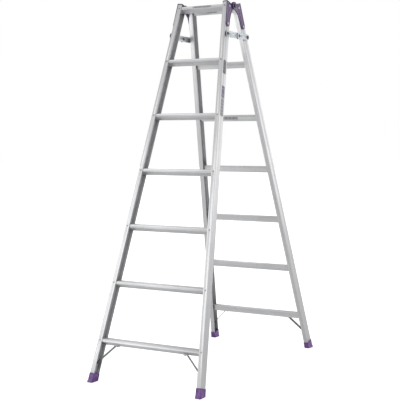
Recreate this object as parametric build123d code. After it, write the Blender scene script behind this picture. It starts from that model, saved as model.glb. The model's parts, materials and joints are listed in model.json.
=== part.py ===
from build123d import *
import os
from math import cos, sin, tan, radians, sqrt

# Multi position ladder: two tapered aluminium ladder halves joined by a pair of hinge brackets.
# Frame: X along the rungs, -Y the front half, +Y the rear half, Z up.
# The origin is on the ground, midway between the four feet. Millimetres.

# ---- driving dimensions -------------------------------------------------------------------
LEAN = 17.0  # degrees, each half leans this much from upright
TAPER = 5.04  # degrees, each stile leans inwards by this much
BASE_DEPTH = 1340.8  # outer face to outer face of the two halves at the ground
BASE_HALF_WIDTH = 328.15  # centre to the outer face of a stile at the ground
RUNG_COUNT = 7
RUNG_PITCH = 300.0
FIRST_RUNG = 218.0  # along the half, from the ground to the first rung

STILE_WEB = 47.5  # width of the channel's web
STILE_FLANGE = 24.7
WEB_WALL = 1.6
FLANGE_WALL = 1.8
BEAD = 2.4  # thickened flange edge
STILE_START = 24.0
STILE_TOP = 2039.0
CAP_TOP = 2045.0
PLUG_LENGTH = 8.0  # of the end cap's plug inside the channel

RUNG_FRONT_SETBACK = 2.5  # rung front face behind the stile's front face
RUNG_FRONT_HEIGHT = 15.2
RUNG_DEPTH = 35.6
RUNG_WALL = 1.4
RIB_COUNT = 6
RIB_HEIGHT = 0.7
RIB_WIDTH = 1.6

FOOT_WALL = 2.8
FOOT_HEIGHT = 51.0
FOOT_FLARE = 1.3
FOOT_FLARE_HEIGHT = 15.0
FOOT_GROOVES = (-16.0, -5.5, 5.5, 16.0)  # from the middle of the sole
FOOT_GROOVE_WIDTH = 3.0

PIN_HEIGHT = 1934.0  # hinge axis above the ground
HUB_RADIUS = 20.0
HUB_CLEARANCE = 32.0  # the layer without the hub stays this far from the axis
HINGE_PIN_RADIUS = 6.0
PIN_HEAD = 11.0
PIN_COLLAR = 10.0
PIN_HEAD_DEPTH = 4.5
INNER_LAYER = 2.2
OUTER_LAYER = 1.4
POCKET_DEPTH = 0.4  # the pocket goes this far into the inner layer
FRONT_HUB = (144.8, 151.0)  # x range of the front bracket's hub
REAR_HUB = (151.3, 157.0)
RIVET_RADIUS = 2.4
RIVET_HEAD = 4.2
BOLT_RADIUS = 4.0
BOLT_HEAD = 7.0
BOLT_HEAD_DEPTH = 3.2
BOLT_SEAT = 3.0  # height of a bolt's seat above the web
SEAT_RADIUS = 8.5
BRACKET_LOW = 1927.0  # centre of the bracket's rounded lower end
BRACKET_OUTSIDE = 2.0  # depth of the lower arm's two edges
BRACKET_INSIDE = 42.0
BRACKET_BORDER = 3.4
BRACKET_BOLTS = [(21.0, 1921.0), (28.0, 2024.0)]

STAY_Z = 1776.0
STAY_HALF_HEIGHT = 15.0
REAR_PIVOT_Y = 115.0
KNUCKLE_Y = 18.0
STUD = (-105.0, 1779.0)
STAY_TAIL = 22.0  # of the link in front of the knuckle
STAY_TAB = 10.0  # width of the stop tab
PRESSED = 1.2  # depth of the pressed grooves and ribs
HOOK_PLANE = (169.0, 172.0)  # x range of the hook plate
LINK_PLANE = (172.3, 175.3)  # x range of the rear link
STUD_NECK = 6.0
STUD_HEAD = 8.0
STUD_BASE = 11.0
CLAW_RADIUS = 18.5  # of the hook's rounded end, around the stud
CLAW_PLAY = 0.4  # radial clearance between the claw and the stud's neck
KNUCKLE_HEAD = 8.0
PIVOT_HEAD = 9.5
PIVOT_SPACER = 8.5
PIVOT_RADIUS = 5.0
RUNNING = 0.05  # radial clearance of a running fit
GAP = 0.3

FAR = 400.0  # longer than anything that a cutting block must pass through

os.makedirs("parts", exist_ok=True)


# ---- placing ------------------------------------------------------------------------------
def front(shape):
    """Stand a half drawn upright (X, depth inwards = Y, Z along the half) on its lean."""
    return Pos(0, -BASE_DEPTH / 2, 0) * Rot(-LEAN, 0, 0) * shape


def rear(shape):
    """The rear half is the front half turned half a turn about Z."""
    return Rot(0, 0, 180) * front(shape)


def mirrored(shape):
    """The left-hand copy of a right-hand piece."""
    return shape.mirror(Plane.YZ)


def on_web(shape):
    """Put a shape drawn against x = 0 onto the outer face of the right stile."""
    return Pos(BASE_HALF_WIDTH, 0, 0) * Rot(0, -TAPER, 0) * shape


def web_length(along):
    """The distance along the sloping web for a distance along the half."""
    return along / cos(radians(TAPER))


def web_x(along):
    return BASE_HALF_WIDTH - along * tan(radians(TAPER))


def rung_place(index):
    return FIRST_RUNG + RUNG_PITCH * index


def x_rod(radius, x_low, x_high, y=0.0, z=0.0):
    rod = Cylinder(radius, x_high - x_low, rotation=(0, 90, 0))
    return Pos((x_low + x_high) / 2, y, z) * rod


def outline_of(*points):
    """A flat face through the points, facing up whichever way round they are listed."""
    area = sum(a[0] * b[1] - b[0] * a[1] for a, b in zip(points, points[1:] + points[:1]))
    ordered = points if area > 0 else points[::-1]
    return make_face(Polyline(*ordered, close=True))


def x_slab(outline, x_low, x_high):
    """Extrude a sketch drawn in (Y, Z) from x_low to x_high."""
    return Pos(x_low, 0, 0) * extrude(Plane.YZ * outline, x_high - x_low)


def save(shape, node):
    export_step(Compound(children=list(shape)) if isinstance(shape, list) else shape, f"parts/{node}.step")


# ---- stiles -------------------------------------------------------------------------------
def stile():
    """A channel with its web outside and its open side towards the rungs."""
    start = web_length(STILE_START)
    length = web_length(STILE_TOP) - start
    outline = Polyline(
        (0, 0),
        (-STILE_FLANGE, 0),
        (-STILE_FLANGE, BEAD),
        (-STILE_FLANGE + BEAD, BEAD),
        (-STILE_FLANGE + BEAD, FLANGE_WALL),
        (-WEB_WALL, FLANGE_WALL),
        (-WEB_WALL, STILE_WEB - FLANGE_WALL),
        (-STILE_FLANGE + BEAD, STILE_WEB - FLANGE_WALL),
        (-STILE_FLANGE + BEAD, STILE_WEB - BEAD),
        (-STILE_FLANGE, STILE_WEB - BEAD),
        (-STILE_FLANGE, STILE_WEB),
        (0, STILE_WEB),
        close=True,
    )
    section = make_face(outline)
    outer = section.vertices().filter_by(lambda v: v.X > -0.1 or v.X < -STILE_FLANGE + 0.1)
    corners = [v for v in outer if v.Y < 0.1 or v.Y > STILE_WEB - 0.1]
    section = fillet(corners, 1.2)
    channel = Pos(0, 0, start) * extrude(section, length)
    channel = on_web(channel)
    for index in range(RUNG_COUNT):
        channel -= rivet_hole(rung_place(index))
    for y, along in BRACKET_BOLTS:
        channel -= web_hole(y, along, BOLT_RADIUS)
    return channel


def flange_middle(along):
    return web_x(along) - STILE_FLANGE / 2


def rivet_hole(along):
    hole = Cylinder(RIVET_RADIUS, 4 * FLANGE_WALL, rotation=(90, 0, 0))
    return Pos(flange_middle(along), FLANGE_WALL, along) * hole


def web_hole(y, along, radius):
    hole = Cylinder(radius, 6 * WEB_WALL, rotation=(0, 90, 0))
    return on_web(Pos(0, y, web_length(along)) * hole)


# ---- rungs --------------------------------------------------------------------------------
def rung_outline(shrink=0.0):
    """Narrow in front and deeper behind, so that the tread is level when the half leans."""
    low = RUNG_FRONT_SETBACK + shrink
    high = RUNG_FRONT_SETBACK + RUNG_DEPTH - shrink
    slope = tan(radians(LEAN))
    edge = RUNG_FRONT_HEIGHT / 2 - shrink / cos(radians(LEAN))
    front_half = edge + (low - RUNG_FRONT_SETBACK) * slope
    back_half = edge + (high - RUNG_FRONT_SETBACK) * slope
    face = make_face(
        Polyline((low, -front_half), (high, -back_half), (high, back_half), (low, front_half), close=True)
    )
    return fillet(face.vertices(), 1.0 if shrink else 1.8)


def tread_ribs():
    """Small grip ribs along both treads of a rung."""
    ribs = []
    step = RUNG_DEPTH / (RIB_COUNT + 1)
    for side in (-1, 1):
        for number in range(1, RIB_COUNT + 1):
            y = RUNG_FRONT_SETBACK + number * step
            height = RUNG_FRONT_HEIGHT / 2 + number * step * tan(radians(LEAN))
            rib = Rectangle(RIB_WIDTH, 2 * RIB_HEIGHT, rotation=side * LEAN)
            ribs.append(Pos(y, side * height) * rib)
    return ribs


def rung(index):
    along = rung_place(index)
    section = rung_outline()
    for rib in tread_ribs():
        section += rib
    section -= rung_outline(RUNG_WALL)
    bar = x_slab(section, -FAR, FAR)
    bar = Pos(0, 0, along) * bar
    bar -= rivet_hole(along)
    bar -= mirrored(rivet_hole(along))
    outside = on_web(Pos(-WEB_WALL - GAP + FAR / 2, 0, along) * Box(FAR, FAR, FAR))
    return bar - outside - mirrored(outside)


# ---- feet and end caps --------------------------------------------------------------------
def stile_block(margin, start, length):
    """A solid block on the stile's line, margin wider than the channel on every side."""
    size_x = STILE_FLANGE + 2 * margin
    size_y = STILE_WEB + 2 * margin
    block = Box(size_x, size_y, length, align=(Align.CENTER, Align.CENTER, Align.MIN))
    if margin > 0:
        block = fillet(block.edges().filter_by(Axis.Z), 3.0)
    centre = Pos(-STILE_FLANGE / 2, STILE_WEB / 2, start)
    return on_web(centre * block)


def foot(channel):
    """A moulded shoe that wraps the end of the stile and fills its channel, cut level below."""
    shoe = stile_block(FOOT_WALL, -FAR / 4, FOOT_HEIGHT + FAR / 4)
    base = stile_block(FOOT_WALL + FOOT_FLARE, -FAR / 4, FOOT_FLARE_HEIGHT + FAR / 4)
    shoe = shoe + base - channel
    standing = front(shoe)
    ground = Pos(0, 0, -FAR / 2) * Box(4 * FAR, 4 * FAR, FAR)
    standing -= ground
    for offset in FOOT_GROOVES:
        groove = Pos(web_x(0) - STILE_FLANGE / 2, -BASE_DEPTH / 2 + STILE_WEB / 2 + offset, 0)
        standing -= groove * Box(FAR / 4, FOOT_GROOVE_WIDTH, FOOT_GROOVE_WIDTH)
    return standing


def end_cap(channel):
    """A plate over the end of the stile with a plug inside the channel."""
    plate = stile_block(0.0, web_length(STILE_TOP), web_length(CAP_TOP - STILE_TOP))
    plug = Box(STILE_FLANGE - WEB_WALL - BEAD, STILE_WEB - 2 * FLANGE_WALL - 2, PLUG_LENGTH)
    plug_x = -(STILE_FLANGE + WEB_WALL - BEAD) / 2 - 0.2
    place = Pos(plug_x, STILE_WEB / 2, web_length(STILE_TOP) - PLUG_LENGTH / 2)
    return plate + on_web(place * plug) - channel - rung_space(RUNG_COUNT - 1)


def rung_space(index):
    """The room that a rung takes, without its hollow."""
    slab = x_slab(rung_outline(-2 * RIB_HEIGHT), -FAR, FAR)
    return Pos(0, 0, rung_place(index)) * slab


# ---- hinge brackets -----------------------------------------------------------------------
def pin_in_half():
    """The hinge axis in the flat frame of a half: depth and distance along."""
    lean = radians(LEAN)
    depth = BASE_DEPTH / 2 * cos(lean) - PIN_HEIGHT * sin(lean)
    along = BASE_DEPTH / 2 * sin(lean) + PIN_HEIGHT * cos(lean)
    return depth, along


def bracket_outline(inset=0.0):
    """The bracket without its hub, drawn in depth and distance along the half."""
    pin_y, pin_z = pin_in_half()
    arm = outline_of(
        (BRACKET_OUTSIDE + inset, BRACKET_LOW),
        (-1 + inset, CAP_TOP - inset),
        (pin_y - 8, CAP_TOP - inset),
        (pin_y - 8, pin_z - HUB_RADIUS * 0.8 + inset / 2),
        (54 - inset, 1999),
        (BRACKET_INSIDE - inset, 1950),
        (BRACKET_INSIDE - inset, BRACKET_LOW),
    )
    middle = (BRACKET_OUTSIDE + BRACKET_INSIDE) / 2
    return arm + Pos(middle, BRACKET_LOW) * Circle((BRACKET_INSIDE - BRACKET_OUTSIDE) / 2 - inset)


def neck_outline():
    """The neck and hub around the hinge axis."""
    pin_y, pin_z = pin_in_half()
    neck = outline_of(
        (STILE_WEB + 1, CAP_TOP),
        (pin_y, pin_z + HUB_RADIUS),
        (pin_y + HUB_RADIUS * 0.6, pin_z),
        (pin_y, pin_z - HUB_RADIUS),
        (52.0, 1994.0),
        (40.0, 2000.0),
    )
    return neck + Pos(pin_y, pin_z) * Circle(HUB_RADIUS)


def flat_layer(outline, low, high):
    """A layer of a bracket that follows the stile's web."""
    stretched = scale(outline, by=(1, web_length(1.0), 1))
    return on_web(x_slab(stretched, low, high))


def bracket(hub):
    """Inner plate, raised rim and ribs, and a flat hub across the hinge axis."""
    pin_y, pin_z = pin_in_half()
    room = x_rod(HUB_CLEARANCE, 0, FAR, pin_y, pin_z)
    plate = flat_layer(bracket_outline(), 0, INNER_LAYER)
    pocket = flat_layer(bracket_outline(BRACKET_BORDER), INNER_LAYER - POCKET_DEPTH, FAR / 4)
    rim = flat_layer(bracket_outline(), INNER_LAYER, INNER_LAYER + OUTER_LAYER) - pocket
    rib = outline_of((18, 1932), (24, 1932), (30, CAP_TOP - 4), (24, CAP_TOP - 4))
    spine = flat_layer(rib, INNER_LAYER - POCKET_DEPTH, INNER_LAYER + OUTER_LAYER * 0.4)
    body = plate + rim + spine - room + x_slab(neck_outline(), hub[0], hub[1])
    body -= x_rod(HINGE_PIN_RADIUS + RUNNING, 0, FAR, pin_y, pin_z)
    stile_room = on_web(Pos(-FAR / 8, STILE_WEB / 2, 2000) * Box(FAR / 4, STILE_WEB + 1, FAR))
    body -= stile_room
    for y, along in BRACKET_BOLTS:
        height = web_length(along)
        body += on_web(x_rod(SEAT_RADIUS, 0, BOLT_SEAT, y, height))
        body -= on_web(x_rod(SEAT_RADIUS, BOLT_SEAT, FAR / 4, y, height))
        body -= on_web(x_rod(BOLT_RADIUS, -1, FAR / 4, y, height))
    return body


def bracket_bolts():
    """Round headed bolts with nuts inside the channel."""
    bolts = []
    for y, along in BRACKET_BOLTS:
        height = web_length(along)
        head = x_rod(BOLT_HEAD, BOLT_SEAT, BOLT_SEAT + BOLT_HEAD_DEPTH, y, height)
        shank = x_rod(BOLT_RADIUS - RUNNING, -WEB_WALL - 5, BOLT_SEAT, y, height)
        nut = x_slab(Pos(y, height) * RegularPolygon(6.5, 6), -WEB_WALL - 4, -WEB_WALL)
        bolts.append(on_web(fillet(head.edges().sort_by(Axis.X)[-1:], 1.8) + shank + nut))
    return bolts


def hinge_pin():
    """A headed pin that is fixed in the front bracket's hub."""
    pin_y, pin_z = 0.0, PIN_HEIGHT
    pin = x_rod(HINGE_PIN_RADIUS, FRONT_HUB[0] - 1, REAR_HUB[1] + GAP, pin_y, pin_z)
    head = x_rod(PIN_HEAD, REAR_HUB[1] + GAP, REAR_HUB[1] + PIN_HEAD_DEPTH, pin_y, pin_z)
    collar = x_rod(PIN_COLLAR, FRONT_HUB[0] - PIN_HEAD_DEPTH, FRONT_HUB[0] - GAP, pin_y, pin_z)
    head = fillet(head.edges().sort_by(Axis.X)[-1:], 2.0)
    return pin + head + collar


# ---- rivets -------------------------------------------------------------------------------
def rung_rivets():
    rivets = []
    for index in range(RUNG_COUNT):
        along = rung_place(index)
        shank = Cylinder(RIVET_RADIUS - RUNNING, 5.0, rotation=(90, 0, 0))
        head = Cylinder(RIVET_HEAD, 1.5, rotation=(90, 0, 0))
        head = fillet(head.edges().sort_by(Axis.Y)[:1], 1.1)
        rivet = Pos(0, 2.5, 0) * shank + Pos(0, -0.75, 0) * head
        placed = Pos(flange_middle(along), 0, along) * rivet
        rivets += [placed, mirrored(placed)]
    return rivets


# ---- diagonal braces ----------------------------------------------------------------------
BRACE_HIGH = (212.0, FIRST_RUNG - 20.5)  # x and distance along, under the lowest rung
BRACE_LOW = 98.0  # distance along of the end inside the stile
BRACE_WIDTH = 16.0
BRACE_THICKNESS = 3.4
BRACE_DEPTH = 24.0  # distance behind the stile's front face
BRACE_INSET = 4.2  # from the web's inner face to the strip's lower end
TAB_THICKNESS = 2.4


def brace():
    """A flat strip from the underside of the lowest rung to the inside of the stile."""
    x_high, z_high = BRACE_HIGH
    x_low = web_x(BRACE_LOW) - WEB_WALL - BRACE_INSET
    run_x = x_low - x_high
    run_z = BRACE_LOW - z_high
    length = sqrt(run_x**2 + run_z**2)
    across = (run_z / length * BRACE_THICKNESS / 2, -run_x / length * BRACE_THICKNESS / 2)
    strip = outline_of(
        (x_high + across[0], z_high + across[1]),
        (x_low + across[0], BRACE_LOW + across[1]),
        (x_low - across[0], BRACE_LOW - across[1]),
        (x_high - across[0], z_high - across[1]),
    )
    top_tab = Pos(x_high - 10.5, z_high) * Rectangle(23, TAB_THICKNESS)
    solid = extrude(Plane.XZ * (strip + top_tab), BRACE_WIDTH / 2, both=True)
    foot_place = Pos(-WEB_WALL - TAB_THICKNESS / 2 - 1, 0, web_length(BRACE_LOW) - 11)
    foot_tab = on_web(foot_place * Box(TAB_THICKNESS, BRACE_WIDTH, 26))
    return Pos(0, BRACE_DEPTH, 0) * (solid + foot_tab)


def brace_rivets():
    x_high, z_high = BRACE_HIGH
    face = -WEB_WALL - TAB_THICKNESS - 1
    high = Pos(x_high - 13, BRACE_DEPTH, z_high - TAB_THICKNESS) * Cylinder(5.0, TAB_THICKNESS)
    low = x_rod(5.0, face - 2.2, face, BRACE_DEPTH, web_length(BRACE_LOW - 14))
    return [high, on_web(low)]


# ---- stays --------------------------------------------------------------------------------
def stay_stud():
    """A headed stud on the front stile that the hook drops over."""
    y, z = STUD
    along = BASE_DEPTH / 2 * sin(radians(LEAN)) + z * cos(radians(LEAN)) + y * sin(radians(LEAN))
    base = x_rod(STUD_BASE, web_x(along) - 12, HOOK_PLANE[0] - CLAW_PLAY, y, z)
    base -= front(on_web(Pos(-FAR / 2, 0, along) * Box(FAR, FAR, FAR)))
    neck = x_rod(STUD_NECK, HOOK_PLANE[0] - CLAW_PLAY, HOOK_PLANE[1] + GAP, y, z)
    head = x_rod(STUD_HEAD, HOOK_PLANE[1] + GAP, HOOK_PLANE[1] + GAP + 4.0, y, z)
    head = fillet(head.edges().sort_by(Axis.X)[-1:], 2.4)
    return base + neck + head


def stay_hook():
    """The front plate of the stay: a claw over the stud and a bar with a pressed groove."""
    y, z = STUD
    low = STAY_Z - STAY_HALF_HEIGHT
    high = STAY_Z + STAY_HALF_HEIGHT
    bar = outline_of((y, low), (KNUCKLE_Y, low), (KNUCKLE_Y, high), (y, high + 3))
    bar += Pos(KNUCKLE_Y, STAY_Z) * Circle(STAY_HALF_HEIGHT)
    claw = bar + Pos(y, z) * Circle(CLAW_RADIUS)
    mouth = outline_of(
        (y - STUD_NECK - CLAW_PLAY, z),
        (y - STUD_NECK - CLAW_PLAY, z - 8),
        (y - STUD_NECK + 3, z - 40),
        (y + 28, z - 40),
        (y + 22, z - 6),
        (y + 17.5, z + 0.5),
        (y + 2, z + STUD_NECK),
    )
    claw -= mouth
    claw -= Pos(y, z) * Circle(STUD_NECK + CLAW_PLAY)
    claw -= Pos(KNUCKLE_Y, STAY_Z) * Circle(PIVOT_RADIUS + RUNNING)
    plate = x_slab(claw, HOOK_PLANE[0], HOOK_PLANE[1])
    groove = Pos(-45, STAY_Z) * RectangleRounded(52, 14, 5)
    plate += x_slab(groove, HOOK_PLANE[0] - PRESSED, HOOK_PLANE[0])
    return plate - x_slab(groove, HOOK_PLANE[1] - PRESSED, HOOK_PLANE[1])


def stay_link():
    """The rear plate of the stay, with a turned tab under the hook that stops it at straight."""
    nose = KNUCKLE_Y - STAY_TAIL
    middle = (nose + REAR_PIVOT_Y) / 2
    bar = Pos(middle, STAY_Z) * Rectangle(REAR_PIVOT_Y - nose, 2 * STAY_HALF_HEIGHT)
    bar = fillet(bar.vertices().sort_by(Axis.X)[:2], 5.0)
    bar += Pos(REAR_PIVOT_Y, STAY_Z) * Circle(STAY_HALF_HEIGHT)
    for pivot_y in (KNUCKLE_Y, REAR_PIVOT_Y):
        bar -= Pos(pivot_y, STAY_Z) * Circle(PIVOT_RADIUS + RUNNING)
    plate = x_slab(bar, LINK_PLANE[0], LINK_PLANE[1])
    bottom = STAY_Z - STAY_HALF_HEIGHT
    tab_y = nose + STAY_TAB
    tab_depth = LINK_PLANE[1] - HOOK_PLANE[0]
    tab_x = HOOK_PLANE[0] + tab_depth / 2
    tab = Pos(tab_x, tab_y, bottom - GAP - STAY_TAB / 8) * Box(tab_depth, STAY_TAB, STAY_TAB / 4)
    root = Pos((LINK_PLANE[0] + LINK_PLANE[1]) / 2, tab_y, bottom) * Box(3.0, STAY_TAB, 4)
    groove = Pos(middle + 14, STAY_Z) * RectangleRounded(50, 14, 5)
    plate += x_slab(groove, LINK_PLANE[1], LINK_PLANE[1] + PRESSED)
    return plate + root + tab


def knuckle_rivet():
    inner = x_rod(KNUCKLE_HEAD, HOOK_PLANE[0] - GAP - 2.2, HOOK_PLANE[0] - GAP, KNUCKLE_Y, STAY_Z)
    shank = x_rod(PIVOT_RADIUS, HOOK_PLANE[0] - GAP, LINK_PLANE[1], KNUCKLE_Y, STAY_Z)
    outer = x_rod(KNUCKLE_HEAD, LINK_PLANE[1], LINK_PLANE[1] + 2.4, KNUCKLE_Y, STAY_Z)
    outer = fillet(outer.edges().sort_by(Axis.X)[-1:], 1.5)
    return inner + shank + outer


def rear_pivot():
    """A shouldered pin on the rear stile: its spacer, shank and round head."""
    y, z = REAR_PIVOT_Y, STAY_Z
    spacer = x_rod(PIVOT_SPACER, FRONT_HUB[0], LINK_PLANE[0] - GAP, y, z)
    spacer -= rear(mirrored(on_web(Pos(-FAR / 2, 0, 1861) * Box(FAR, FAR, FAR))))
    shank = x_rod(PIVOT_RADIUS, LINK_PLANE[0] - GAP, LINK_PLANE[1] + GAP, y, z)
    head = x_rod(PIVOT_HEAD, LINK_PLANE[1] + GAP, LINK_PLANE[1] + 3.7, y, z)
    head = fillet(head.edges().sort_by(Axis.X)[-1:], 2.2)
    return spacer + shank + head


# ---- plain marking plates -----------------------------------------------------------------
PLATE_THICKNESS = 0.4
PLATE_WIDTH = 30.0
WEB_PLATES = {"upper": (1682.0, 73.0), "middle": (1547.0, 62.0), "lower": (1464.0, 98.0)}


def web_plate(along, length):
    """A blank marking plate on the outside of the right front stile."""
    outline = Pos(STILE_WEB / 2, web_length(along)) * RectangleRounded(PLATE_WIDTH, length, 3)
    return on_web(x_slab(outline, 0, PLATE_THICKNESS))


def rung_plate(index, length):
    """A blank marking plate on the front face of a rung."""
    height = RUNG_FRONT_HEIGHT * 0.6
    plate = Box(length, PLATE_THICKNESS, height)
    return Pos(0, RUNG_FRONT_SETBACK - PLATE_THICKNESS / 2, rung_place(index)) * plate


def back_plate(index, length):
    """A blank marking plate on the inner face of a rung."""
    plate = Box(length, PLATE_THICKNESS, 16.0)
    y = RUNG_FRONT_SETBACK + RUNG_DEPTH + PLATE_THICKNESS / 2
    return Pos(length * 0.1, y, rung_place(index)) * plate


# ---- build --------------------------------------------------------------------------------
right_stile = stile()
left_stile = mirrored(right_stile)
right_cap = end_cap(right_stile)
right_foot = foot(right_stile)
braces = {"right": brace(), "left": mirrored(brace())}
brace_heads = brace_rivets()
bolts = bracket_bolts()

for half, place in (("front", front), ("rear", rear)):
    turned = half == "rear"
    right_side, left_side = ("left", "right") if turned else ("right", "left")
    save(place(right_stile), f"{half}_{right_side}_stile")
    save(place(left_stile), f"{half}_{left_side}_stile")
    save(place(right_cap), f"{half}_{right_side}_end_cap")
    save(place(mirrored(right_cap)), f"{half}_{left_side}_end_cap")
    standing = Rot(0, 0, 180) * right_foot if turned else right_foot
    save(standing, f"{half}_{right_side}_foot")
    save(mirrored(standing), f"{half}_{left_side}_foot")
    for index in range(RUNG_COUNT):
        save(place(rung(index)), f"{half}_rung_{index + 1}")
    save([place(rivet) for rivet in rung_rivets()], f"{half}_rung_rivets")
    save(place(braces["right"]), f"{half}_{right_side}_brace")
    save(place(braces["left"]), f"{half}_{left_side}_brace")
    heads = brace_heads + [mirrored(head) for head in brace_heads]
    save([place(head) for head in heads], f"{half}_brace_rivets")
    all_bolts = bolts + [mirrored(bolt) for bolt in bolts]
    save([place(bolt) for bolt in all_bolts], f"{half}_bracket_bolts")

front_bracket = front(bracket(FRONT_HUB))
rear_bracket = mirrored(rear(bracket(REAR_HUB)))
for side, keep in (("right", lambda shape: shape), ("left", mirrored)):
    save(keep(front_bracket), f"front_{side}_hinge_bracket")
    save(keep(rear_bracket), f"rear_{side}_hinge_bracket")
    save(keep(hinge_pin()), f"{side}_hinge_pin")
    save(keep(stay_stud()), f"{side}_stay_stud")
    save(keep(stay_hook()), f"{side}_stay_hook")
    save(keep(stay_link()), f"{side}_stay_link")
    save(keep(knuckle_rivet()), f"{side}_knuckle_rivet")
    save(keep(rear_pivot()), f"{side}_rear_pivot")

for place_name, (plate_along, plate_length) in WEB_PLATES.items():
    save(front(web_plate(plate_along, plate_length)), f"{place_name}_stile_marking_plate")
save(front(rung_plate(RUNG_COUNT - 1, 110.0)), "top_rung_marking_plate")
save([rear(back_plate(4, 150.0)), rear(back_plate(6, 60.0))], "rear_rung_marking_plates")
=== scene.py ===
# %% [markdown]
# # A ladder that stands, folds and opens out
# The ladder comes from the workshop as a finished frame: stiles, rungs, brackets, stays and feet, all in
# their places. This lesson gives every part its finish, softens the edges that light would catch, and
# models the moulded shoes by hand. Everything is in metres, with Z up and the rungs along X.

# %% Load the frame
import bpy
import json
import math
from mathutils import Matrix, Vector


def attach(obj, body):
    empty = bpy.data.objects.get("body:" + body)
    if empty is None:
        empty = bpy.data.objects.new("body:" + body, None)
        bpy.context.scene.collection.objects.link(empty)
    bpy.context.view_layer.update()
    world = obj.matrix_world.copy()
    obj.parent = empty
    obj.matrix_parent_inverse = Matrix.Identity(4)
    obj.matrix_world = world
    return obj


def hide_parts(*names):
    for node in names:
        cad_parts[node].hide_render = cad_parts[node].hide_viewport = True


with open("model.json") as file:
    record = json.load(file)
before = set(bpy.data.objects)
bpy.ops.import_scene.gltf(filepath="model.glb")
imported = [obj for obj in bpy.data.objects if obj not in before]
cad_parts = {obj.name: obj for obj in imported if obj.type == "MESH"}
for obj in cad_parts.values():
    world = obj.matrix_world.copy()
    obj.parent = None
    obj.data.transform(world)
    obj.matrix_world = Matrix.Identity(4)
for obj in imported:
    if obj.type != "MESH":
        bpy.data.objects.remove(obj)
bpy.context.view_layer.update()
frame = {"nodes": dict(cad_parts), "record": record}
bpy.ops.object.select_all(action="DESELECT")
print("nodes:", len(frame["nodes"]))

# %% [markdown]
# ## The lines that the ladder is set out on
# Each half is drawn flat and then leant over, and each stile leans inwards too. With these two matrices a
# piece can be modelled upright at the corner of a stile and then set in its place. The rear half is the
# front half turned half a turn, and a left-hand piece is the mirror image of a right-hand one.

# %% Setting-out matrices
LEAN = math.radians(17.0)
TAPER = math.radians(5.04)
MM = 0.001
STILE_WEB = 47.5 * MM
STILE_FLANGE = 24.7 * MM
BASE_HALF_WIDTH = 328.15 * MM
BASE_DEPTH = 1340.8 * MM
HALVES = ("front", "rear")
SIDES = ("right", "left")


def half_place(half):
    """From a half drawn flat (X, depth inwards, distance along) to the standing ladder."""
    lean = Matrix.Translation((0, -BASE_DEPTH / 2, 0)) @ Matrix.Rotation(-LEAN, 4, "X")
    return lean if half == "front" else Matrix.Rotation(math.pi, 4, "Z") @ lean


def web_place(half, side):
    """From a stile drawn upright, with its outer face at x = 0, to its place."""
    # Turning the rear half swaps its sides, so its right-hand stile starts as a left-hand one.
    drawn_right = (side == "right") == (half == "front")
    web = Matrix.Translation((BASE_HALF_WIDTH, 0, 0)) @ Matrix.Rotation(-TAPER, 4, "Y")
    if not drawn_right:
        web = Matrix.Scale(-1, 4, (1, 0, 0)) @ web
    return half_place(half) @ web


# %% [markdown]
# ## The camera
# A long lens from a little to the right of the front, at about the height of a person's chest, keeps the
# ladder's lines nearly parallel.

# %% Camera
CAMERA_PLACE = Vector((2.59792, -4.64647, 1.24362))
CAMERA_TURN = math.radians(29.73)
CAMERA_TILT = math.radians(-3.71)
LENS = 88.28

camera_data = bpy.data.cameras.new("camera")
camera_data.lens = LENS
camera_data.sensor_width = 36.0
camera = bpy.data.objects.new("camera", camera_data)
camera.location = CAMERA_PLACE
camera.rotation_euler = (math.pi / 2 + CAMERA_TILT, 0, CAMERA_TURN)
bpy.context.scene.collection.objects.link(camera)
bpy.context.scene.camera = camera

# %% [markdown]
# ## Floor and light
# A white floor fades into a white surround, so the metal has something bright to reflect. Two large soft
# lamps shape the channels: one high on the left in front, and one high on the right behind.

# %% Floor, surround and lamps
FLOOR_SIZE = 60.0
FLOOR_GLOW = 0.62
SURROUND_LIGHT = 0.74  # how strongly the surround lights the ladder
SURROUND_SEEN = 1.0  # how bright it looks to the camera

bpy.ops.mesh.primitive_plane_add(size=FLOOR_SIZE, location=(0, 0, 0))
floor = bpy.context.object
floor.name = "studio_floor"
floor.select_set(False)


def soft_lamp(name, place, aim, size, power):
    """A square area lamp that points at a spot."""
    data = bpy.data.lights.new(name, "AREA")
    data.size = size
    data.energy = power
    lamp = bpy.data.objects.new(name, data)
    lamp.location = place
    lamp.rotation_euler = (Vector(aim) - Vector(place)).to_track_quat("-Z", "Y").to_euler()
    bpy.context.scene.collection.objects.link(lamp)
    return lamp


KEY_PLACE = (-3.6, -4.9, 2.3)
KEY_AIM = (0.0, 0.0, 1.0)
KEY_SIZE = 3.6
KEY_POWER = 58
BACK_PLACE = (4.2, 6.2, 2.2)
BACK_AIM = (0.0, 0.0, 1.5)
BACK_SIZE = 3.4
BACK_POWER = 38
soft_lamp("key_lamp", KEY_PLACE, KEY_AIM, KEY_SIZE, KEY_POWER)
soft_lamp("back_lamp", BACK_PLACE, BACK_AIM, BACK_SIZE, BACK_POWER)

world = bpy.data.worlds.new("pale_surround")
world.use_nodes = True
surround = world.node_tree.nodes["Background"]
surround.inputs["Color"].default_value = (1.0, 1.0, 1.0, 1)
seen = world.node_tree.nodes.new("ShaderNodeLightPath")
level = world.node_tree.nodes.new("ShaderNodeMapRange")
level.inputs["To Min"].default_value = SURROUND_LIGHT
level.inputs["To Max"].default_value = SURROUND_SEEN
world.node_tree.links.new(seen.outputs["Is Camera Ray"], level.inputs["Value"])
world.node_tree.links.new(level.outputs["Result"], surround.inputs["Strength"])
bpy.context.scene.world = world
bpy.context.scene.view_settings.view_transform = "Standard"

# %% [markdown]
# ## A small shorthand for shaders
# A shader is a sum with pictures of noise in it. Written as a formula it is easier to read than as a web
# of wires, so one class wraps a socket and lets it be added and multiplied, and one method makes any node.


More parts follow.
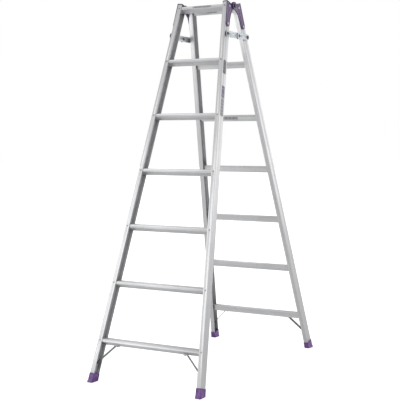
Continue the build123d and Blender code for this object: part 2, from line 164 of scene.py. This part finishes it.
# %% Shader shorthand
class Wire:
    """An output socket that can be used in sums."""

    def __init__(self, finish, socket):
        self.finish = finish
        self.socket = socket

    def join(self, operation, other, swapped=False):
        first, second = (other, self) if swapped else (self, other)
        return self.finish.node("ShaderNodeMath", {"operation": operation}, {0: first, 1: second})

    def __add__(self, other):
        return self.join("ADD", other)

    def __radd__(self, other):
        return self.join("ADD", other, swapped=True)

    def __sub__(self, other):
        return self.join("SUBTRACT", other)

    def __rsub__(self, other):
        return self.join("SUBTRACT", other, swapped=True)

    def __mul__(self, other):
        return self.join("MULTIPLY", other)

    def __rmul__(self, other):
        return self.join("MULTIPLY", other, swapped=True)

    def __gt__(self, other):
        return self.join("GREATER_THAN", other)

    def __lt__(self, other):
        return self.join("LESS_THAN", other)


class Finish:
    """A material under construction around one Principled shader."""

    def __init__(self, name):
        self.material = bpy.data.materials.new(name)
        self.material.use_nodes = True
        self.tree = self.material.node_tree
        self.shader = self.tree.nodes["Principled BSDF"]

    def node(self, kind, settings=None, sockets=None, output=0):
        """Make a node, set it up, and feed its sockets with values or wires."""
        made = self.tree.nodes.new(kind)
        for name, value in (settings or {}).items():
            if name == "stops":
                self.set_stops(made.color_ramp, value)
            else:
                setattr(made, name, value)
        for key, value in (sockets or {}).items():
            self.feed(made.inputs[key], value)
        return Wire(self, made.outputs[output])

    def set_stops(self, ramp, stops):
        while len(ramp.elements) < len(stops):
            ramp.elements.new(0.5)
        for element, (position, colour) in zip(ramp.elements, stops):
            element.position = position
            element.color = (*colour, 1)

    def feed(self, socket, value):
        if isinstance(value, Wire):
            self.tree.links.new(value.socket, socket)
        else:
            socket.default_value = value

    def set(self, **values):
        """Feed the Principled shader: Base_Color stands for Base Color."""
        for name, value in values.items():
            self.feed(self.shader.inputs[name.replace("_", " ")], value)

    def place(self, matrix=None, stretch=(1, 1, 1)):
        """The piece's own coordinates, turned to lie along a part and stretched."""
        spot = self.node("ShaderNodeTexCoord", output="Object")
        if matrix is not None:
            if matrix.determinant() < 0:
                matrix = matrix @ Matrix.Scale(-1, 4, (1, 0, 0))
            turn = {"Location": matrix.to_translation(), "Rotation": matrix.to_euler()}
            spot = self.node("ShaderNodeMapping", {"vector_type": "TEXTURE"}, {"Vector": spot, **turn})
        return self.node("ShaderNodeMapping", {}, {"Vector": spot, "Scale": stretch})

    def noise(self, spot, scale, detail=3.0, rough=0.5):
        sockets = {"Vector": spot, "Scale": scale, "Detail": detail, "Roughness": rough}
        return self.node("ShaderNodeTexNoise", {}, sockets, output=0)

    def spread(self, value, low, high):
        """A noise that sits around 0.5, spread over low to high."""
        sockets = {0: value, 1: 0.3, 2: 0.7, 3: low, 4: high}
        return self.node("ShaderNodeMapRange", {"clamp": True}, sockets)

    def mix(self, factor, one, other):
        """A blend of two colours."""
        sockets = {0: factor, 6: self.paint(one), 7: self.paint(other)}
        return self.node("ShaderNodeMix", {"data_type": "RGBA"}, sockets, output=2)

    def paint(self, colour):
        return colour if isinstance(colour, Wire) else (*colour, 1)

    def bump(self, height, distance, strength=1.0):
        sockets = {"Height": height, "Distance": distance, "Strength": strength}
        return self.node("ShaderNodeBump", {}, sockets)


# %% [markdown]
# ## Extruded aluminium
# A channel is pressed through a die, which leaves fine lines along its whole length, and it is then
# anodised to a soft satin. The lines are a noise squeezed across the metal and drawn out along it. Broader
# bands drawn out the same way are painted reflection: streaks of light and shade between a bright and a
# shaded grey. They only look right if they run along the part, so each stile and rung gets its own turned
# coordinates.

# %% Aluminium finishes
# The two greys are the painted light and painted shade of the reflection bands.
BRIGHT = (0.76, 0.76, 0.765)
SHADED = (0.50, 0.505, 0.52)
DIE_LINES = 700.0  # per metre across the metal
REFLECTION_BANDS = 170.0  # broader bands of painted reflection, a few millimetres wide
LINE_DRAW = 1.2  # per metre along it


def aluminium(name, matrix, along, roughness=(0.30, 0.46)):
    """Satin aluminium with die lines and painted reflection bands along one axis of the matrix."""
    finish = Finish(name)
    stretch = [DIE_LINES] * 3
    stretch[along] = LINE_DRAW
    lines = finish.noise(finish.place(matrix, stretch), 1.0, detail=2.0)
    stretch = [REFLECTION_BANDS] * 3
    stretch[along] = LINE_DRAW / 3
    reflection_bands = finish.noise(finish.place(matrix, stretch), 1.0, detail=1.0)
    clouds = finish.noise(finish.place(matrix), 7.0, detail=4.0)
    smears = finish.noise(finish.place(matrix, [60, 60, 60]), 1.0, detail=5.0, rough=0.65)
    # The tone is mostly painted reflection bands, with random clouds, die lines and smears.
    tone = finish.spread(reflection_bands * 0.55 + clouds * 0.2 + lines * 0.15 + smears * 0.1, 0.0, 1.0)
    low, high = roughness
    finish.set(
        Base_Color=finish.mix(tone, SHADED, BRIGHT),
        Metallic=0.88,
        Roughness=finish.spread(smears * 0.5 + lines * 0.5, low, high),
        Normal=finish.bump(lines * 0.4 + reflection_bands * 0.6, 0.00016, 0.6),
    )
    return finish.material


STILE_METAL = {(h, s): aluminium(f"{h}_{s}_stile_metal", web_place(h, s), 2) for h in HALVES for s in SIDES}
RUNG_METAL = {h: aluminium(f"{h}_rung_metal", half_place(h), 0, (0.34, 0.50)) for h in HALVES}

# %% [markdown]
# ## Zinc plated steel
# The stays, pins and braces are pressed from steel sheet and zinc plated. Plating shows a faint spangle
# and small dull patches, so a cell pattern and a noise both move the grey and the shine a little.


# %% Steel finishes
def plated_steel(name, dark, light, spangle=240.0):
    finish = Finish(name)
    spot = finish.place()
    cells = finish.node("ShaderNodeTexVoronoi", {}, {"Vector": spot, "Scale": spangle}, output="Color")
    cell_grey = finish.node("ShaderNodeRGBToBW", {}, {"Color": cells})
    patches = finish.noise(spot, 90.0, detail=4.0)
    tone = finish.spread(cell_grey * 0.35 + patches * 0.65, 0.0, 1.0)
    finish.set(
        Base_Color=finish.mix(tone, dark, light),
        Metallic=0.95,
        Roughness=finish.spread(patches, 0.28, 0.48),
        Normal=finish.bump(cell_grey + patches, 0.00005, 0.4),
    )
    return finish.material


STAY_METAL = plated_steel("stay_steel", (0.42, 0.45, 0.48), (0.60, 0.63, 0.66))
BOLT_METAL = plated_steel("bolt_steel", (0.38, 0.38, 0.42), (0.56, 0.56, 0.60), 400.0)
# Very dark grey: the dark of the pins is painted shade, and the same finish paints shade on the stays' cut
# edges.
PIN_AND_EDGE_SHADE = plated_steel("pin_steel", (0.07, 0.072, 0.08), (0.15, 0.155, 0.17), 400.0)
# Almost black: the hinge pin's colour is painted shade for the gap between the brackets.
HINGE_PIN_SHADE = plated_steel("shaded_hinge_steel", (0.03, 0.03, 0.055), (0.08, 0.08, 0.11), 400.0)
# Much darker than the stays: the braces' grey is painted shade, for braces that sit in shadow under the
# rungs.
SHADED_BRACE_METAL = plated_steel("brace_steel", (0.15, 0.155, 0.16), (0.26, 0.265, 0.27))
RIVET_METAL = plated_steel("rivet_alloy", (0.26, 0.265, 0.27), (0.40, 0.405, 0.41), 500.0)

# %% [markdown]
# ## Purple paint and purple plastic
# The brackets are painted, with the light skin of orange peel that a sprayed coat has, and worn a little
# paler where hands rub. The shoes are moulded, with a fine even grain and a softer shine.


# %% Purple finishes
def purple(name, dark, light, grain, depth, roughness, coat):
    finish = Finish(name)
    spot = finish.place()
    skin = finish.noise(spot, grain, detail=2.0)
    clouds = finish.noise(spot, 22.0, detail=5.0, rough=0.6)
    rubs = finish.spread(finish.noise(spot, 60.0, detail=6.0, rough=0.75), -1.4, 1.0)
    body = finish.mix(finish.spread(clouds, 0.0, 1.0), dark, light)
    worn = finish.mix(rubs * 0.2, body, (0.30, 0.22, 0.38))
    low, high = roughness
    finish.set(
        Base_Color=worn,
        Roughness=finish.spread(clouds * 0.5 + skin * 0.5, low, high),
        Coat_Weight=coat,
        Normal=finish.bump(skin, depth, 0.5),
    )
    return finish.material


BRACKET_PAINT = purple(
    "bracket_paint", (0.092, 0.034, 0.150), (0.142, 0.062, 0.212), 900.0, 0.00008, (0.26, 0.42), 0.2
)
# A darker purple for the brackets' cut edges: painted shade along the plate's thickness.
BRACKET_EDGE_SHADE = purple(
    "bracket_edge_shade", (0.030, 0.014, 0.055), (0.060, 0.030, 0.095), 900.0, 0.00008, (0.30, 0.46), 0.0
)
SHOE_PLASTIC = purple(
    "shoe_plastic", (0.055, 0.008, 0.135), (0.200, 0.070, 0.330), 2200.0, 0.00006, (0.16, 0.34), 0.1
)

# %% [markdown]
# ## Grey plastic and printed film
# The end caps are plain grey plastic. The marking plates are thin printed film, left blank here: a ground
# colour with a few plain bars, worked out from distance alone.


# %% Plastic and film finishes
def grey_plastic(name, dark, light):
    finish = Finish(name)
    spot = finish.place()
    grain = finish.noise(spot, 1800.0, detail=2.0)
    clouds = finish.noise(spot, 40.0, detail=4.0)
    finish.set(
        Base_Color=finish.mix(finish.spread(clouds, 0.0, 1.0), dark, light),
        Roughness=finish.spread(clouds, 0.42, 0.58),
        Normal=finish.bump(grain, 0.00005, 0.5),
    )
    return finish.material


def printed_film(name, matrix, along, ground, bar, pitch):
    """Film with plain bars across it, spaced by pitch."""
    finish = Finish(name)
    spot = finish.place(matrix)
    parts = finish.node("ShaderNodeSeparateXYZ", {}, {0: spot}, output=along)
    wave = finish.node("ShaderNodeMath", {"operation": "PINGPONG"}, {0: parts, 1: pitch})
    bars = wave < pitch * 0.22
    scuffs = finish.noise(finish.place(matrix), 120.0, detail=5.0, rough=0.7)
    fade = finish.spread(scuffs, 0.0, 0.2)
    finish.set(
        Base_Color=finish.mix(fade, finish.mix(bars, ground, bar), (0.70, 0.70, 0.72)),
        Roughness=finish.spread(scuffs, 0.25, 0.45),
    )
    return finish.material


CAP_PLASTIC = grey_plastic("cap_plastic", (0.055, 0.055, 0.065), (0.09, 0.09, 0.10))
RIGHT_WEB = web_place("front", "right")
FILM_DARK = printed_film("film_dark", RIGHT_WEB, 2, (0.03, 0.03, 0.036), (0.12, 0.12, 0.13), 0.011)
FILM_PURPLE = printed_film("film_purple", RIGHT_WEB, 2, (0.10, 0.055, 0.16), (0.24, 0.19, 0.30), 0.016)
FILM_GREY = printed_film("film_grey", RIGHT_WEB, 2, (0.20, 0.20, 0.21), (0.42, 0.42, 0.44), 0.009)
FILM_PLAIN = printed_film("film_plain", half_place("front"), 0, (0.22, 0.22, 0.23), (0.36, 0.36, 0.37), 0.012)

# %% [markdown]
# ## Softened edges
# The frame's edges are perfectly sharp, and no real edge is. Each part's mesh is copied, its loose
# triangles are merged back into whole faces, and a narrow bevel rolls every hard edge so that it catches
# a line of light. The copy then stands in for the frame's part.


# %% Softening helper
EDGE_SLOPE = 0.6  # a face that looks this little along X is a cut edge


def whole_copy(node):
    """A copy of a frame part with its triangles merged into whole faces."""
    source = frame["nodes"][node]
    piece = source.copy()
    piece.data = source.data.copy()
    piece.name = node + "_finished"
    bpy.context.scene.collection.objects.link(piece)
    bpy.ops.object.select_all(action="DESELECT")
    piece.select_set(True)
    bpy.context.view_layer.objects.active = piece
    bpy.ops.object.mode_set(mode="EDIT")
    bpy.ops.mesh.select_all(action="SELECT")
    bpy.ops.mesh.remove_doubles(threshold=0.00001)
    bpy.ops.mesh.dissolve_limited(angle_limit=math.radians(0.5))
    bpy.ops.object.mode_set(mode="OBJECT")
    return piece


def roll_edges(piece, width, segments=2, angle=30.0):
    """Bevel the hard edges of a piece and smooth what is round."""
    bpy.ops.object.select_all(action="DESELECT")
    piece.select_set(True)
    bpy.context.view_layer.objects.active = piece
    bevel = piece.modifiers.new("edge_roll", "BEVEL")
    bevel.width = width
    bevel.segments = segments
    bevel.limit_method = "ANGLE"
    bevel.angle_limit = math.radians(angle)
    bevel.harden_normals = False
    bpy.ops.object.modifier_apply(modifier=bevel.name)
    bpy.ops.object.shade_smooth_by_angle(angle=math.radians(35))
    piece.select_set(False)
    return piece


def dress(piece, material, body, *nodes):
    """Give a piece its finish and its body, and hide the parts it stands for."""
    piece.data.materials.clear()
    piece.data.materials.append(material)
    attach(piece, body)
    if nodes:
        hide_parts(*nodes)
    return piece


def body_of(node):
    """The body that a frame part belongs to."""
    bodies = frame["record"]["behaviour"]["bodies"]
    return next(body for body, members in bodies.items() if node in members)


def finish_node(node, material, width):
    piece = roll_edges(whole_copy(node), width)
    return dress(piece, material, body_of(node), node)


def finish_sheet(node, material, edge_shade_material, width):
    """A part cut from sheet across X: its cut edges get a darker finish than its two faces, as painted shade.
    """
    piece = finish_node(node, material, width)
    piece.data.materials.append(edge_shade_material)
    for face in piece.data.polygons:
        face.material_index = int(abs(face.normal.x) < EDGE_SLOPE)
    return piece


# %% [markdown]
# ## Stiles, rungs and braces
# The long extrusions come first. Their corners are rolled by less than half a millimetre.

# %% Dress the ladder halves
RUNGS = range(1, 8)
for half in HALVES:
    for side in SIDES:
        finish_node(f"{half}_{side}_stile", STILE_METAL[half, side], 0.35 * MM)
        finish_node(f"{half}_{side}_end_cap", CAP_PLASTIC, 0.6 * MM)
        finish_node(f"{half}_{side}_brace", SHADED_BRACE_METAL, 0.4 * MM)
        # The brackets' cut edges get the darker purple as painted shade.
        finish_sheet(f"{half}_{side}_hinge_bracket", BRACKET_PAINT, BRACKET_EDGE_SHADE, 0.5 * MM)
    for number in RUNGS:
        finish_node(f"{half}_rung_{number}", RUNG_METAL[half], 0.15 * MM)
    finish_node(f"{half}_rung_rivets", RIVET_METAL, 0.15 * MM)
    finish_node(f"{half}_brace_rivets", RIVET_METAL, 0.5 * MM)
    finish_node(f"{half}_bracket_bolts", BOLT_METAL, 0.3 * MM)

# %% [markdown]
# ## Stays and pins
# Pressed plates have a rolled edge on both faces, and the pins have turned ones.

# %% Dress the stays
for side in SIDES:
    # The stay plates' cut edges get the dark pin steel as painted shade.
    finish_sheet(f"{side}_stay_hook", STAY_METAL, PIN_AND_EDGE_SHADE, 0.5 * MM)
    finish_sheet(f"{side}_stay_link", STAY_METAL, PIN_AND_EDGE_SHADE, 0.5 * MM)
    finish_node(f"{side}_hinge_pin", HINGE_PIN_SHADE, 0.25 * MM)
    for pin in ("stay_stud", "knuckle_rivet", "rear_pivot"):
        finish_node(f"{side}_{pin}", PIN_AND_EDGE_SHADE, 0.25 * MM)

# %% [markdown]
# ## Marking plates
# Thin film has no edge worth rolling, so the frame's own plates are kept and only painted.

# %% Dress the marking plates
for node, film in (
    ("upper_stile_marking_plate", FILM_DARK),
    ("middle_stile_marking_plate", FILM_PURPLE),
    ("lower_stile_marking_plate", FILM_GREY),
    ("top_rung_marking_plate", FILM_PLAIN),
    ("rear_rung_marking_plates", FILM_PLAIN),
):
    plate = frame["nodes"][node].data
    plate.materials.clear()
    plate.materials.append(film)

# %% [markdown]
# ## The moulded shoe
# A shoe is a tapered box of plastic with a rim that grips the end of the stile, a flared sole, and grooves
# underneath for grip. It starts as a cube the size of the stile's end, cut across where the flare
# begins, and a shallow panel is pressed into each side above the flare. The sole is cut level with the
# ground only after the shoe has been leant over with its stile.

# %% Model one shoe
SHOE_WALL = 2.8 * MM
SHOE_TOP = 51.0 * MM
SHOE_FLARE = 1.3 * MM
SHOE_FLARE_TOP = 15.0 * MM
SHOE_DROP = 40.0 * MM  # spare length below, cut away at the ground
RIM_DEPTH = 7.0 * MM
PANEL_BORDER = 5.5 * MM
PANEL_DEPTH = 1.2 * MM
FLARE_RUN = 4.0 * MM  # the height over which the flare widens
SHOE_CORNER = 4.0 * MM
SHOE_EDGE = 0.7 * MM
SHOE_EDGE_STEPS = 3
SHOE_EDGE_ANGLE = 32.0
GROOVE_PLACES = (-16.0, -5.5, 5.5, 16.0)  # millimetres from the middle of the sole
GROOVE_HALF_WIDTH = 1.5
GROOVE_DEPTH = 2.5 * MM


def pick(piece, test, kind="faces"):
    """Select the faces, edges or vertices that pass a test, in edit mode."""
    bpy.ops.object.mode_set(mode="OBJECT")
    mesh = piece.data
    for group in (mesh.vertices, mesh.edges, mesh.polygons):
        for item in group:
            item.select = False
    chosen = {"faces": mesh.polygons, "edges": mesh.edges, "verts": mesh.vertices}[kind]
    for item in chosen:
        item.select = test(item)
    bpy.ops.object.mode_set(mode="EDIT")
    bpy.ops.mesh.select_mode(type={"faces": "FACE", "edges": "EDGE", "verts": "VERT"}[kind])


def shoe_blank():
    """A block around the stile's end with a recessed top and a flared base."""
    size = Vector((STILE_FLANGE + 2 * SHOE_WALL, STILE_WEB + 2 * SHOE_WALL, SHOE_TOP + SHOE_DROP))
    middle = Vector((-STILE_FLANGE / 2, STILE_WEB / 2, (SHOE_TOP - SHOE_DROP) / 2))
    bpy.ops.mesh.primitive_cube_add(size=1.0, location=(0, 0, 0))
    shoe = bpy.context.object
    shoe.data.transform(Matrix.Translation(middle) @ Matrix.Diagonal((*size, 1)))
    pick(shoe, lambda face: face.normal.z > 0.9)
    bpy.ops.mesh.inset(thickness=SHOE_WALL - 0.2 * MM)
    bpy.ops.mesh.extrude_region_move(TRANSFORM_OT_translate={"value": (0, 0, -RIM_DEPTH)})
    for height in (SHOE_FLARE_TOP, SHOE_FLARE_TOP - FLARE_RUN):
        bpy.ops.mesh.select_all(action="SELECT")
        bpy.ops.mesh.bisect(plane_co=(0, 0, height), plane_no=(0, 0, 1))
    bpy.ops.mesh.select_mode(type="VERT")
    low = SHOE_FLARE_TOP - 0.75 * FLARE_RUN
    pick(shoe, lambda vert: vert.co.z < low, "verts")
    flare_x = 1 + 2 * SHOE_FLARE / size.x
    flare_y = 1 + 2 * SHOE_FLARE / size.y
    bpy.ops.transform.resize(value=(flare_x, flare_y, 1), center_override=middle)
    bpy.ops.mesh.select_mode(type="FACE")
    outside = Vector((STILE_FLANGE / 2 + SHOE_WALL, STILE_WEB / 2 + SHOE_WALL)) * 0.97

    def is_side(face):
        spot = face.center - middle
        beyond = abs(spot.x) > outside.x or abs(spot.y) > outside.y
        return beyond and face.center.z > SHOE_FLARE_TOP and abs(face.normal.z) < 0.5

    pick(shoe, is_side)
    bpy.ops.mesh.inset(thickness=PANEL_BORDER, use_individual=True)
    bpy.ops.transform.shrink_fatten(value=-PANEL_DEPTH)
    bpy.ops.object.mode_set(mode="OBJECT")
    return shoe


def upright_edge(mesh, edge):
    ends = [mesh.vertices[i].co for i in edge.vertices]
    run = (ends[1] - ends[0]).normalized()
    return abs(run.z) > 0.8


def round_corners(shoe):
    """Round the four outer corners of the block."""
    outer = Vector((STILE_FLANGE / 2 + SHOE_WALL, STILE_WEB / 2 + SHOE_WALL))
    centre = Vector((-STILE_FLANGE / 2, STILE_WEB / 2))

    def at_corner(edge):
        spots = [shoe.data.vertices[i].co for i in edge.vertices]
        far = all(
            abs(s.x - centre.x) > outer.x - MM / 2 and abs(s.y - centre.y) > outer.y - MM / 2
            for s in spots
        )
        return far and upright_edge(shoe.data, edge)

    pick(shoe, at_corner, "edges")
    bpy.ops.mesh.bevel(offset=SHOE_CORNER, segments=5)
    bpy.ops.object.mode_set(mode="OBJECT")


def cut_sole(shoe):
    """Lean the shoe over with its stile and cut it level, then press grooves into the sole."""
    shoe.data.transform(web_place("front", "right"))
    bpy.ops.object.mode_set(mode="EDIT")
    bpy.ops.mesh.select_all(action="SELECT")
    bpy.ops.mesh.bisect(plane_co=(0, 0, 0), plane_no=(0, 0, 1), clear_inner=True, use_fill=True)
    middle_y = -BASE_DEPTH / 2 + STILE_WEB / 2
    for offset in GROOVE_PLACES:
        for side in (-GROOVE_HALF_WIDTH, GROOVE_HALF_WIDTH):
            bpy.ops.mesh.select_all(action="SELECT")
            line = middle_y + (offset + side) * MM
            bpy.ops.mesh.bisect(plane_co=(0, line, 0), plane_no=(0, 1, 0))

    def in_groove(face):
        across = face.center.y - middle_y
        near = any(abs(across - offset * MM) < (GROOVE_HALF_WIDTH - 0.1) * MM for offset in GROOVE_PLACES)
        return near and abs(face.center.z) < 0.1 * MM and face.normal.z < -0.9

    pick(shoe, in_groove)
    bpy.ops.mesh.inset(thickness=0.05 * MM)
    bpy.ops.transform.translate(value=(0, 0, GROOVE_DEPTH))
    bpy.ops.object.mode_set(mode="OBJECT")


shoe = shoe_blank()
round_corners(shoe)
cut_sole(shoe)
shoe.name = "front_right_shoe"
roll_edges(shoe, SHOE_EDGE, SHOE_EDGE_STEPS, SHOE_EDGE_ANGLE)
print("shoe faces:", len(shoe.data.polygons))

# %% [markdown]
# ## Four shoes
# The other three are copies of the first: mirrored for the left, turned for the rear. A mirrored mesh is
# inside out, so its faces are turned the right way again.


# %% Copy the shoe to every foot
def placed_copy(piece, name, matrix):
    """A copy with its own mesh, moved by a matrix, and faces outwards again if mirrored."""
    twin = piece.copy()
    twin.data = piece.data.copy()
    twin.name = name
    twin.data.transform(matrix)
    if matrix.determinant() < 0:
        twin.data.flip_normals()
    bpy.context.scene.collection.objects.link(twin)
    return twin


MIRROR_X = Matrix.Scale(-1, 4, (1, 0, 0))
MIRROR_Y = Matrix.Scale(-1, 4, (0, 1, 0))
shoes = {
    ("front", "right"): shoe,
    ("front", "left"): placed_copy(shoe, "front_left_shoe", MIRROR_X),
    ("rear", "right"): placed_copy(shoe, "rear_right_shoe", MIRROR_Y),
    ("rear", "left"): placed_copy(shoe, "rear_left_shoe", MIRROR_X @ MIRROR_Y),
}
for (half, side), piece in shoes.items():
    dress(piece, SHOE_PLASTIC, f"{half}_half", f"{half}_{side}_foot")

# %% [markdown]
# ## The floor's finish
# The floor is painted a plain pale tone with the faintest mottle, so that it doesn't look like a hole.

# %% Floor finish
FLOOR_DARKER = (0.91, 0.91, 0.91)
FLOOR_LIGHTER = (0.93, 0.93, 0.93)
BLACK = (0.0, 0.0, 0.0)
WHITE = (1.0, 1.0, 1.0)

paper = Finish("floor_paint")
mottle = paper.noise(paper.place(), 3.0, detail=3.0)
seen_directly = paper.node("ShaderNodeLightPath", output="Is Camera Ray")
paper.set(
    Base_Color=paper.mix(paper.spread(mottle, 0.0, 1.0), FLOOR_DARKER, FLOOR_LIGHTER),
    Roughness=0.85,
    Emission_Color=paper.mix(seen_directly, BLACK, WHITE),
    Emission_Strength=FLOOR_GLOW,
)
floor.data.materials.append(paper.material)
